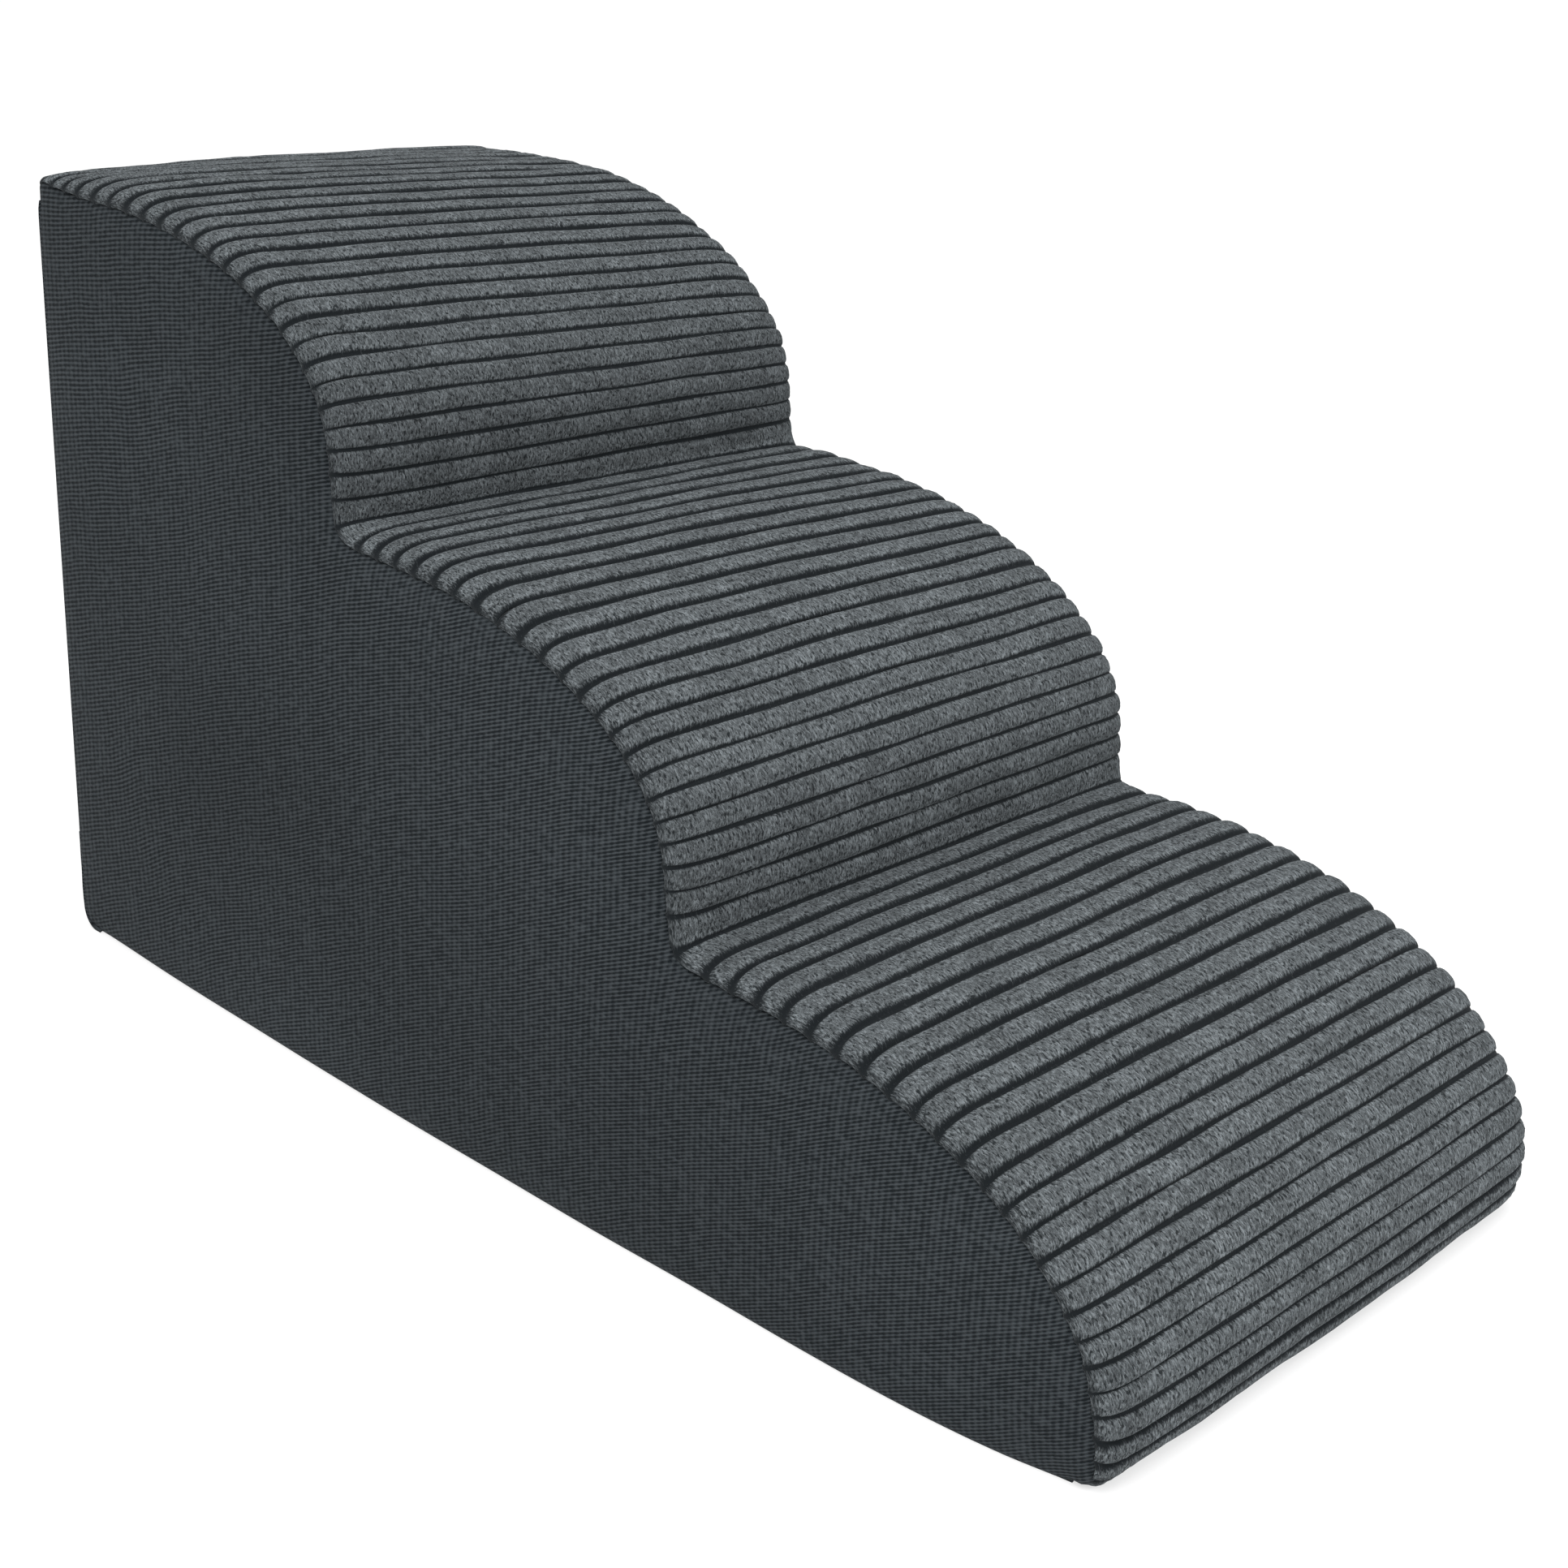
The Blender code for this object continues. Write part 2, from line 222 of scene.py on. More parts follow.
def linked(name, data, finish):
    """An object of a mesh or curve, in the scene and with its material."""
    made = bpy.data.objects.new(name, data)
    collection.objects.link(made)
    data.materials.append(finish)
    return made


def mesh_object(name, verts, faces, finish, smooth=True):
    mesh = bpy.data.meshes.new(name)
    mesh.from_pydata(verts, [], faces)
    mesh.validate()
    if smooth:
        mesh.shade_smooth()
    return linked(name, mesh, finish)


def grid_faces(rows, wide, turned=False):
    """Faces of a grid of points, rows + 1 rows of them with wide in each."""
    faces = []
    for row in range(rows):
        for column in range(wide - 1):
            first = row * wide + column
            corners = (first, first + 1, first + wide + 1, first + wide)
            faces.append((corners[0], *reversed(corners[1:])) if turned else corners)
    return faces


def thicken(made, thickness):
    """Gives a sheet its thickness, on its inner side."""
    thick = made.modifiers.new("Cloth", "SOLIDIFY")
    thick.thickness = thickness
    thick.offset = -1.0


def wire_curve(name, radius, resolution):
    curve = bpy.data.curves.new(name, "CURVE")
    curve.dimensions = "3D"
    curve.bevel_depth = radius
    curve.bevel_resolution = resolution
    curve.use_fill_caps = True
    return curve


def add_spline(curve, places):
    spline = curve.splines.new("POLY")
    spline.points.add(len(places) - 1)
    for point, place in zip(spline.points, places):
        point.co = (*place, 1.0)
    return spline


# ---------------------------------------------------------------- materials
class Nodes:
    """Short names for building one material's node tree."""

    def __init__(self, name):
        self.material = bpy.data.materials.new(name)
        self.material.use_nodes = True
        self.tree = self.material.node_tree
        self.shader = self.tree.nodes["Principled BSDF"]
        self.coordinates = self.tree.nodes.new("ShaderNodeTexCoord").outputs["Object"]

    def link(self, source, target):
        self.tree.links.new(source, target)

    def put(self, value, target):
        """A link where the value is a socket, or else the number or colour itself."""
        if isinstance(value, bpy.types.NodeSocket):
            self.link(value, target)
        else:
            target.default_value = (*value, 1.0) if isinstance(value, tuple) else value

    def math(self, operation, a, b=0.0, clamp=False):
        node = self.tree.nodes.new("ShaderNodeMath")
        node.operation = operation
        node.use_clamp = clamp
        self.put(a, node.inputs[0])
        self.put(b, node.inputs[1])
        return node.outputs[0]

    def mapping(self, scale, rotation=(0, 0, 0), source=None):
        node = self.tree.nodes.new("ShaderNodeMapping")
        self.link(source or self.coordinates, node.inputs["Vector"])
        node.inputs["Scale"].default_value = scale
        node.inputs["Rotation"].default_value = rotation
        return node.outputs["Vector"]

    def noise(self, vector, scale, detail=2.0, roughness=0.5, distortion=0.0):
        node = self.tree.nodes.new("ShaderNodeTexNoise")
        self.link(vector, node.inputs["Vector"])
        node.inputs["Scale"].default_value = scale
        node.inputs["Detail"].default_value = detail
        node.inputs["Roughness"].default_value = roughness
        node.inputs["Distortion"].default_value = distortion
        return node.outputs["Fac"]

    def grey(self, value):
        return self.combine(value, value, value)

    def ramp(self, source, low, high, first, second):
        """A colour or value that runs from first to second as source runs from low to high."""
        node = self.tree.nodes.new("ShaderNodeMapRange")
        node.inputs["From Min"].default_value = low
        node.inputs["From Max"].default_value = high
        self.link(source, node.inputs["Value"])
        if not isinstance(first, tuple):
            node.inputs["To Min"].default_value = first
            node.inputs["To Max"].default_value = second
            return node.outputs["Result"]
        return self.mix(node.outputs["Result"], first, second)

    def mix(self, share, first, second, blend="MIX"):
        node = self.tree.nodes.new("ShaderNodeMix")
        node.data_type = "RGBA"
        node.blend_type = blend
        self.put(share, node.inputs["Factor"])
        self.put(first, node.inputs["A"])
        self.put(second, node.inputs["B"])
        return node.outputs["Result"]

    def attribute(self, name):
        node = self.tree.nodes.new("ShaderNodeAttribute")
        node.attribute_name = name
        return node.outputs["Fac"]

    def separate(self, vector):
        node = self.tree.nodes.new("ShaderNodeSeparateXYZ")
        self.link(vector, node.inputs[0])
        return node.outputs

    def combine(self, x, y, z):
        node = self.tree.nodes.new("ShaderNodeCombineXYZ")
        for value, target in zip((x, y, z), node.inputs):
            self.put(value, target)
        return node.outputs[0]

    def bump(self, height, distance, strength=1.0):
        node = self.tree.nodes.new("ShaderNodeBump")
        node.inputs["Distance"].default_value = distance
        node.inputs["Strength"].default_value = strength
        self.link(height, node.inputs["Height"])
        self.link(node.outputs["Normal"], self.shader.inputs["Normal"])

    def finish(self, colour, roughness, **numbers):
        """Sets the shader; each further number goes on the input of its name."""
        self.put(colour, self.shader.inputs["Base Color"])
        self.put(roughness, self.shader.inputs["Roughness"])
        for name, value in numbers.items():
            self.shader.inputs[name.replace("_", " ")].default_value = value
        return self.material


def corduroy_material():
    """Tufted pile on the ribs, over a dark ground that shows between them, with painted shade up the ribs'
    flanks and on the steep fronts.
    """
    n = Nodes("wide_wale_corduroy")
    rib = n.attribute("rib_height_and_flank_shade")
    along = n.combine(n.attribute("width_mm"), n.attribute("length_mm"), rib)
    fibre = n.noise(n.mapping((1.0, 0.36, 1.0), source=along), 1.45, 2.0, 0.6, 0.15)
    speck = n.noise(n.mapping((1.0, 0.5, 1.0), source=along), 0.95, 1.0, 0.5, 0.2)
    tuft = n.noise(n.mapping((1.0, 0.7, 1.0), source=along), 0.22, 2.0, 0.5)
    brushed = n.noise(n.mapping((1.0, 0.8, 1.0), source=along), 0.05, 3.0, 0.55)
    pile = n.ramp(fibre, 0.34, 0.60, 0.28, 1.0)
    hole = n.ramp(speck, 0.33, 0.42, 0.0, 1.0)
    pile = n.math("MULTIPLY", pile, n.math("ADD", n.math("MULTIPLY", hole, 0.9), 0.1))
    shade = n.mix(pile, (0.0080, 0.0105, 0.0120), (0.139, 0.155, 0.164))
    patch = n.math("MULTIPLY", n.ramp(brushed, 0.35, 0.65, 0.86, 1.14), n.ramp(tuft, 0.3, 0.7, 0.88, 1.12))
    # painted shade: the pile's patches are darkened on the steep fronts
    patch = n.math("MULTIPLY", patch, n.attribute("painted_front_shade"))
    shade = n.mix(1.0, shade, n.grey(patch), "MULTIPLY")
    # dark ground between the ribs, with painted shade carried up their flanks where the height mask is low
    ragged = n.math("ADD", rib, n.math("MULTIPLY", n.math("SUBTRACT", fibre, 0.5), 0.8))
    colour = n.mix(n.ramp(ragged, 0.10, 0.55, 0.0, 1.0), (0.0085, 0.0105, 0.0120), shade)
    n.bump(n.math("MULTIPLY", pile, rib), 1.0 * MM, 1.0)
    return n.finish(colour, 0.95, Sheen_Weight=0.06, Sheen_Roughness=0.5,
                    Sheen_Tint=(0.80, 0.85, 0.88, 1.0), Specular_IOR_Level=0.05)


def woven_material(name, side):
    """Coarse plain weave, for the side panels or for the back."""
    n = Nodes(name)
    parts = n.separate(n.coordinates)
    across = parts["Y"] if side else parts["X"]
    up = parts["Z"]
    wander = n.noise(n.coordinates, 9.0, 2.0)
    bent = n.math("MULTIPLY", n.math("SUBTRACT", wander, 0.5), 9 * MM)
    rising = n.math("ADD", up, bent)
    if side:
        lean = n.math("ADD", n.math("MULTIPLY", up, ROW_FAN), n.math("MULTIPLY", across, ROW_CURVE / 2))
        lean = n.math("MULTIPLY", across, n.math("ADD", lean, ROW_LEAN))
        rising = n.math("ADD", rising, lean)
        warp = n.math("EXPONENT", n.math("MULTIPLY", across, -COLUMN_FAN))
        warp = n.math("MULTIPLY", warp, -1.0 / (COLUMN_FAN * SIDE_WARP_PITCH))
    else:
        warp = n.math("DIVIDE", n.math("ADD", across, n.math("MULTIPLY", bent, 0.4)), WARP_PITCH)
    weft = n.math("DIVIDE", rising, WEFT_PITCH)
    grain = n.noise(n.mapping((1.0, 0.45, 1.0)), 520.0, 2.0, 0.6)
    strength = n.ramp(n.noise(n.coordinates, 60.0, 2.0), 0.35, 0.65, 0.55, 1.0)
    warp_wave = n.math("SINE", n.math("MULTIPLY", warp, 2 * math.pi))
    weft_wave = n.math("SINE", n.math("MULTIPLY", weft, 2 * math.pi))
    cross = n.math("MULTIPLY", warp_wave, 0.28)
    body = n.math("ADD", n.math("MULTIPLY", weft_wave, n.math("MULTIPLY", strength, 0.80)), cross)
    body = n.math("ADD", body, n.math("MULTIPLY", n.math("SUBTRACT", grain, 0.5), 2.0))
    soft = n.noise(n.mapping((1.0, 0.6, 1.4)), 5.5, 3.0, 0.5)
    colour = n.ramp(body, -0.62, 0.72, WEAVE_DARK, WEAVE_LIGHT)
    cloud_and_painted_light = n.ramp(soft, 0.3, 0.7, 0.86, 1.14)
    if side:
        # painted light: the side cloth is painted lighter toward the front and darker toward the back
        cloud_and_painted_light = n.math("MULTIPLY", cloud_and_painted_light, n.ramp(across, BACK, FRONT, 0.94, 1.15))
    colour = n.mix(1.0, colour, n.grey(cloud_and_painted_light), "MULTIPLY")
    n.bump(body, 0.38 * MM, 0.9)
    return n.finish(colour, 0.9, Sheen_Weight=0.03, Sheen_Roughness=0.5,
                    Sheen_Tint=(0.7, 0.76, 0.8, 1.0), Specular_IOR_Level=0.08)


def thread_material():
    n = Nodes("seam_thread")
    twist = n.tree.nodes.new("ShaderNodeTexWave")
    n.link(n.mapping((700.0, 700.0, 700.0), (0.5, 0.7, 0.6)), twist.inputs["Vector"])
    twist.inputs["Scale"].default_value = 0.7
    twist.inputs["Distortion"].default_value = 1.0
    colour = n.ramp(twist.outputs["Fac"], 0.2, 0.9, (0.0088, 0.0099, 0.0110), (0.016, 0.018, 0.020))
    n.bump(twist.outputs["Fac"], 0.15 * MM, 0.7)
    return n.finish(colour, 0.6, Sheen_Weight=0.2, Specular_IOR_Level=0.3)


def foam_material():
    n = Nodes("open_cell_foam")
    cells = n.tree.nodes.new("ShaderNodeTexVoronoi")
    n.link(n.coordinates, cells.inputs["Vector"])
    cells.inputs["Scale"].default_value = 520.0
    tone = n.noise(n.coordinates, 14.0, 3.0)
    open_cells = n.ramp(cells.outputs["Distance"], 0.0, 0.7, (0.52, 0.49, 0.40), (0.86, 0.84, 0.77))
    clouds = n.ramp(tone, 0.3, 0.7, (0.74, 0.71, 0.62), (0.88, 0.86, 0.80))
    colour = n.mix(0.35, open_cells, clouds)
    n.bump(cells.outputs["Distance"], 0.5 * MM, 0.8)
    return n.finish(colour, 0.95, Specular_IOR_Level=0.1)


def tape_material():
    n = Nodes("herringbone_tape")
    parts = n.separate(n.coordinates)
    rows = n.math("DIVIDE", parts["X"], 1.1 * MM)
    zigzag = n.math("PINGPONG", n.math("DIVIDE", parts["Z"], 1.0 * MM), 1.6)
    line = n.math("SINE", n.math("MULTIPLY", n.math("ADD", rows, zigzag), 2 * math.pi))
    grain = n.noise(n.coordinates, 900.0, 2.0)
    body = n.math("ADD", line, n.math("MULTIPLY", grain, 0.6))
    colour = n.ramp(body, -0.8, 1.4, (0.010, 0.011, 0.013), (0.038, 0.041, 0.045))
    n.bump(body, 0.14 * MM, 0.8)
    return n.finish(colour, 0.8, Sheen_Weight=0.1, Specular_IOR_Level=0.3)


def coil_material():
    n = Nodes("nylon_coil")
    scuff = n.noise(n.coordinates, 700.0, 3.0, 0.6)
    colour = n.ramp(scuff, 0.35, 0.7, (0.018, 0.019, 0.021), (0.036, 0.038, 0.041))
    n.bump(scuff, 0.03 * MM, 0.5)
    return n.finish(colour, n.ramp(scuff, 0.3, 0.7, 0.32, 0.52), Specular_IOR_Level=0.5)


def metal_material(name, base, worn, roughness):
    """Cast metal with light scratches and its finish worn at the edges."""
    n = Nodes(name)
    edge = n.tree.nodes.new("ShaderNodeNewGeometry").outputs["Pointiness"]
    scratch = n.noise(n.mapping((60.0, 900.0, 900.0)), 1.0, 4.0, 0.6)
    cast = n.noise(n.coordinates, 1600.0, 3.0, 0.6)
    wear = n.math("ADD", n.ramp(edge, 0.52, 0.60, 0.0, 0.30),
                  n.ramp(scratch, 0.62, 0.72, 0.0, 0.35), clamp=True)
    colour = n.mix(wear, base, worn)
    rough = n.math("ADD", n.ramp(cast, 0.3, 0.7, roughness - 0.05, roughness + 0.1),
                   n.math("MULTIPLY", wear, -0.08))
    n.bump(cast, 0.03 * MM, 0.6)
    return n.finish(colour, rough, Metallic=0.9)


def label_material():
    n = Nodes("satin_label")
    parts = n.separate(n.coordinates)
    ribs = n.math("SINE", n.math("MULTIPLY", parts["Z"], 2 * math.pi / (0.35 * MM)))
    tone = n.noise(n.coordinates, 60.0, 3.0)
    colour = n.ramp(tone, 0.3, 0.7, (0.58, 0.58, 0.55), (0.72, 0.72, 0.69))
    n.bump(ribs, 0.03 * MM, 0.5)
    return n.finish(colour, 0.42, Sheen_Weight=0.2, Specular_IOR_Level=0.5)


def base_material():
    n = Nodes("anti_slip_base")
    tone = n.noise(n.coordinates, 30.0, 3.0)
    grain = n.noise(n.coordinates, 900.0, 3.0, 0.65)
    clouds = n.ramp(tone, 0.3, 0.7, (0.020, 0.022, 0.024), (0.038, 0.041, 0.043))
    threads = n.ramp(grain, 0.3, 0.7, (0.014, 0.015, 0.017), (0.044, 0.047, 0.050))
    colour = n.mix(0.5, clouds, threads)
    n.bump(grain, 0.3 * MM, 0.8)
    return n.finish(colour, 0.85, Sheen_Weight=0.1, Specular_IOR_Level=0.2)


def rubber_material():
    n = Nodes("grip_dot_rubber")
    grain = n.noise(n.coordinates, 1200.0, 3.0, 0.6)
    n.bump(grain, 0.08 * MM, 0.6)
    return n.finish(n.ramp(grain, 0.3, 0.7, (0.012, 0.012, 0.013), (0.026, 0.027, 0.028)),
                    n.ramp(grain, 0.3, 0.7, 0.55, 0.75), Specular_IOR_Level=0.4)


CORDUROY = corduroy_material()
SIDE_WEAVE = woven_material("coarse_weave_sides", side=True)
BACK_WEAVE = woven_material("coarse_weave_back", side=False)
SEAM_THREAD = thread_material()
TAPE = tape_material()
COIL = coil_material()
PAINTED = metal_material("black_painted_zinc", (0.035, 0.036, 0.039), (0.42, 0.41, 0.40), 0.38)
STEEL = metal_material("pressed_stop_metal", (0.30, 0.30, 0.31), (0.60, 0.60, 0.60), 0.34)
LABEL = label_material()
BASE = base_material()
RUBBER = rubber_material()
FOAM = foam_material()


# ---------------------------------------------------------------- corduroy cover
def rib_levels():
    """Shares of one rib's pitch, close together where the rib turns down to the ground."""
    half = [0.0, 0.5 * GROUND_SHARE, GROUND_SHARE, 0.082, 0.105, 0.15, 0.22, 0.32, 0.42]
    return half + [0.5] + [1 - share for share in reversed(half[1:])]


def rib_shape(share):
    """Height of the pile over the ground, from 0 to 1."""
    away = abs(share - 0.5) / (0.5 - GROUND_SHARE)
    if away >= 1.0:
        return 0.0
    return (1.0 - away ** 2.4) ** 0.55


def flank_shade_depth(share, nz):
    """How steeply painted shade climbs a rib's flank.

    It is steepest on a rib's front side where the tread is flat, and on its top side at the foot.
    """
    if share > 0.5:
        return 1.0 + 3.4 * max(0.0, nz) ** 4
    return 1.0 + 0.6 * max(0.0, nz) ** 6 + 4.0 * min(1.0, 5.0 * max(0.0, -nz))


def edge_fall(x):
    """How far the cover turns down at a distance from the middle."""
    into = (abs(x) - (HALF - EDGE_REACH)) / EDGE_REACH
    if into <= 0:
        return 0.0
    return EDGE_DROP * (1.0 - (1.0 - min(into, 1.0) ** EDGE_POWER) ** (1.0 / EDGE_POWER))


def rib_distances():
    """(distance along the profile, share of rib, rib number) for every row of the cover."""
    stops = [0.0] + VALLEY_S + [profile.total]
    rows = []
    rib = 0
    steps = 400
    for count, start, end in zip(RIBS, stops, stops[1:]):
        weights = []
        total = 0.0
        for step in range(steps + 1):
            s = start + (end - start) * step / steps
            flat = abs(profile.normal(s)[1])
            weights.append(total)
            total += 1.0 / (1.0 + FLAT_STRETCH * flat ** 6)
        for index in range(count):
            for share in rib_levels()[:-1]:
                wanted = (index + share) / count * weights[-1]
                step = next(i for i in range(steps) if weights[i + 1] >= wanted)
                inner = (wanted - weights[step]) / (weights[step + 1] - weights[step])
                rows.append((start + (end - start) * (step + inner) / steps, share, rib))
            rib += 1
    rows.append((profile.total, 0.0, rib))
    return rows


def width_stations():
    """Places across the width, closer together where the edge turns down."""
    count = 14
    level = [(HALF - EDGE_REACH) * i / count for i in range(count)]
    turned = [HALF - EDGE_REACH * (1 - math.sin(math.pi / 2 * i / count)) for i in range(count + 1)]
    positive = level + turned
    return [-x for x in reversed(positive[1:])] + positive


def skew(s):
    """Lean of the ribs on the upper steps, as distance down the profile per distance to the right."""
    upper = TOP_SKEW * (1.0 - s / VALLEY_S[0]) * min(1.0, s / (70 * MM))
    share = (s - VALLEY_S[0] + 15 * MM) / (170 * MM)
    middle = MIDDLE_SKEW * math.sin(math.pi * share) if 0.0 < share < 1.0 else 0.0
    return max(upper, middle, 0.0)


def edge_share(s):
    """How far the long edges roll over: less in the valleys, hardly at all at the two ends."""
    valley = max(bell(s - place, 22 * MM) for place in VALLEY_S)
    end = max(bell(s, 42 * MM), bell(profile.total - s, 26 * MM))
    return (1.0 - (1.0 - VALLEY_FALL) * valley) * (1.0 - 0.86 * end)


def end_pull(s):
    """How far the two ends of the cover are drawn in along the seams."""
    return END_PULL * (bell(s, 22 * MM) + bell(profile.total - s, 16 * MM))


def corduroy_cover():
    """The ribbed sheet, row by row down the steps, with its long edges tucked into the seams."""
    rows = rib_distances()
    tuck = [(HALF - 0.6 * MM, EDGE_DROP + 1.2 * MM), (HALF - 3.0 * MM, EDGE_DROP + 2.2 * MM)]
    columns = [(-x, fall) for x, fall in reversed(tuck)]
    columns += [(x, edge_fall(x)) for x in width_stations()]
    columns += tuck
    verts, heights_and_flank_shade, widths, lengths, painted_front_shades = [], [], [], [], []
    for s, share, rib in rows:
        shade = FRONT_PAINTED_SHADE[sum(s > valley for valley in VALLEY_S)]
        end_share = min(1.0, s / (8 * MM), (profile.total - s) / (10 * MM))
        raised = RIB_HEIGHT * rib_shape(share)
        for x, full_fall in columns:
            side = 1.0 - min(1.0, max(0.0, (abs(x) - HALF + 5 * MM) / (5 * MM))) ** 2
            wobble = smooth_noise(x, rib * 0.37, 0.0, 0.045, 3.1) * 0.9 * MM
            wobble *= min(1.0, end_share + 0.15)
            place = s + wobble + skew(s) * x
            fall = full_fall * edge_share(place)
            y, z = profile.at(place)
            ny, nz = profile.normal(place, max(2.5 * MM, fall * 0.8))
            lift = CROWN * (1.0 - (x / HALF) ** 2) * end_share
            lift += smooth_noise(x, s, 0.0, 0.08, 7.7) * 1.1 * MM * end_share
            lift += smooth_noise(x, rib * 0.9, 0.0, 0.03, 1.3) * 0.5 * MM * end_share
            rib_size = 0.92 + 0.25 * smooth_noise(x, rib * 1.7, 0.0, 0.05, 5.5)
            fray = smooth_noise(x, s, share, 2.2 * MM, 9.0) * 0.35 * MM * rib_shape(share)
            out = lift - fall - RIB_HEIGHT * 0.75 + (raised * rib_size + fray) * (0.35 + 0.65 * side)
            verts.append((x * (1.0 - end_pull(s) / HALF), y + ny * out, max(z + nz * out, 0.2 * MM)))
            # painted shade: the pile is painted darker where the cover turns steep, most on the top step
            painted_front_shades.append(1.0 - shade * (1.0 - nz * nz))
            # rib height for the bump; as a colour mask it also paints shade up the flanks, and is lower toward
            # the seams
            heights_and_flank_shade.append(rib_shape(share) ** flank_shade_depth(share, nz) * (0.3 + 0.7 * side))
            widths.append((x + math.copysign(1.3 * fall, x)) / MM)
            lengths.append(s / MM)
    made = mesh_object("corduroy_cover", verts, grid_faces(len(rows) - 1, len(columns)), CORDUROY)
    painted = {"rib_height_and_flank_shade": heights_and_flank_shade, "width_mm": widths, "length_mm": lengths, "painted_front_shade": painted_front_shades}
    for name, values in painted.items():
        attribute = made.data.attributes.new(name, "FLOAT", "POINT")
        attribute.data.foreach_set("value", values)
    return made


# ---------------------------------------------------------------- woven panels
def side_outline():
    """Closed outline of the side panel, and its seam line."""
    seam = offset_line(profile, SEAM_INSET + 1.5 * MM, 4 * MM, eased=True)
    seam = [point for point in seam if point[1] > 1.0 * MM]
    outline = list(seam)
    bottom_y = seam[-1][0]
    floor_length = BACK - HEEL_RADIUS - bottom_y
    floor_steps = int(floor_length / PANEL_SPACING)
    for step in range(floor_steps):
        outline.append((bottom_y + floor_length * step / floor_steps, 0.0))
    outline += arc(HEEL, (HEEL_RADIUS,) * 2, -90, 0, 8)
    back_height = seam[0][1] - HEEL_RADIUS
    back_steps = int(back_height / PANEL_SPACING)
    for step in range(1, back_steps + 1):
        outline.append((BACK, HEEL_RADIUS + back_height * step / back_steps))
    return outline, seam


def near_distance(point, line):
    return min(math.dist(point, other) for other in line)


def inside(point, outline):
    """True where a line from the point toward +Y crosses the outline an odd number of times."""
    crossings = 0
    y, z = point
    for (y1, z1), (y2, z2) in zip(outline, outline[1:] + outline[:1]):
        if (z1 > z) != (z2 > z) and y < y1 + (z - z1) / (z2 - z1) * (y2 - y1):
            crossings += 1
    return crossings % 2 == 1


def floor_bulge(y):
    """How far the sides bow out at the floor: nothing at the two ends, most in the front half."""
    share = min(1.0, max(0.0, (y - FRONT) / (BACK - FRONT)))
    return FLOOR_BULGE * math.sin(math.pi * share ** 0.6) ** 0.8


def panel_bulge(y, z, seam):
    """How far the side stands out: crowned by the foam, pulled in at its seams."""
    to_seam = near_distance((y, z), seam)
    to_back = BACK - y
    from_back = 1.0 - near(to_back, 30 * MM)
    out = 3.0 * MM * (1.0 - near(to_seam, 40 * MM)) * from_back * (1.0 - near(z, 60 * MM))
    out += floor_bulge(y) * near(z, 260 * MM) * (1.0 - near(to_seam, 26 * MM)) * from_back
    out -= max(2.6 * MM * near(to_seam, 2.4 * MM), 3.0 * MM * near(z, 4.0 * MM))
    out -= 3.0 * MM * near(to_back, 4.0 * MM)
    slack = math.sin((z + 0.52 * y) / 0.034 + 2.2 * smooth_noise(y, z, 0.0, 0.16, 4.0))
    out += 0.45 * MM * slack * min(1.0, to_seam / (25 * MM), to_back / (25 * MM))
    out += 0.9 * MM * smooth_noise(y, z, 0.0, 0.10, 6.0) * min(1.0, to_seam / (15 * MM))
    return out


def side_panel(name, sign):
    """A side cloth: an even mesh inside the outline, with two finer rows of points along its edge."""
    outline, seam = side_outline()
    points = list(outline)
    row_height = PANEL_SPACING * 0.87
    for row in range(int(HEIGHT / row_height)):
        z = row_height * (row + 0.5)
        y = FRONT + (PANEL_SPACING / 2 if row % 2 else 0.0)
        while y < BACK:
            if inside((y, z), outline) and near_distance((y, z), outline) > 0.55 * PANEL_SPACING:
                points.append((y, z))
            y += PANEL_SPACING
    for depth in (1.6 * MM, 4.0 * MM):
        for index, (y, z) in enumerate(outline):
            before = outline[index - 1]
            after = outline[(index + 1) % len(outline)]
            length = math.dist(before, after)
            inner = (y - (after[1] - before[1]) / length * depth, z + (after[0] - before[0]) / length * depth)
            if inside(inner, outline) and near_distance(inner, outline) > 0.9 * depth:
                points.append(inner)
    edges = [(i, (i + 1) % len(outline)) for i in range(len(outline))]
    found = delaunay_2d_cdt([Vector(p) for p in points], edges, [], 1, 1e-5)
    verts = []
    for y, z in found[0]:
        verts.append((sign * (HALF + panel_bulge(y, z, seam)), y, z))
    faces = [tuple(f) if sign < 0 else tuple(reversed(f)) for f in found[2]]
    made = mesh_object(name, verts, faces, SIDE_WEAVE)
    normals = sum(face.normal.x for face in made.data.polygons)
    if normals * sign < 0:
        made.data.flip_normals()
    thicken(made, CLOTH)
    return made


def seam_line(name, sign):
    """A row of stitches sunk in the groove between the ribs and the side panel."""
    points = offset_line(profile, SEAM_INSET + 0.8 * MM, 3.6 * MM, eased=True, least=3.2 * MM)
    places = []
    for y, z in points:
        if z > 1.5 * MM:
            sunk = (2.9 * MM if len(places) % 2 else 2.2 * MM) + end_pull(profile.nearest((y, z)))
            places.append((sign * (HALF - sunk), y, z))
    curve = wire_curve(name, 0.75 * MM, 3)
    spline = add_spline(curve, places)
    for index, point in enumerate(spline.points):
        point.radius = 0.75 if index % 2 else 1.05
    return linked(name, curve, SEAM_THREAD)


def back_grid(name, corner, size, steps, finish, lift, thickness):
    """A flat cloth on the back as a fine grid, raised by lift(u, v)."""
    verts = []
    for row in range(steps[1] + 1):
        for column in range(steps[0] + 1):
            u, v = column / steps[0], row / steps[1]
            verts.append((corner[0] + u * size[0], corner[1] + lift(u, v), corner[2] + v * size[1]))
    made = mesh_object(name, verts, grid_faces(steps[1], steps[0] + 1), finish)
    if made.data.polygons[0].normal.y < 0:
        made.data.flip_normals()
    thicken(made, thickness)
    return made


def dist_to_edges(u, v, size):
    return min(u, 1 - u) * size[0], min(v, 1 - v) * size[1]


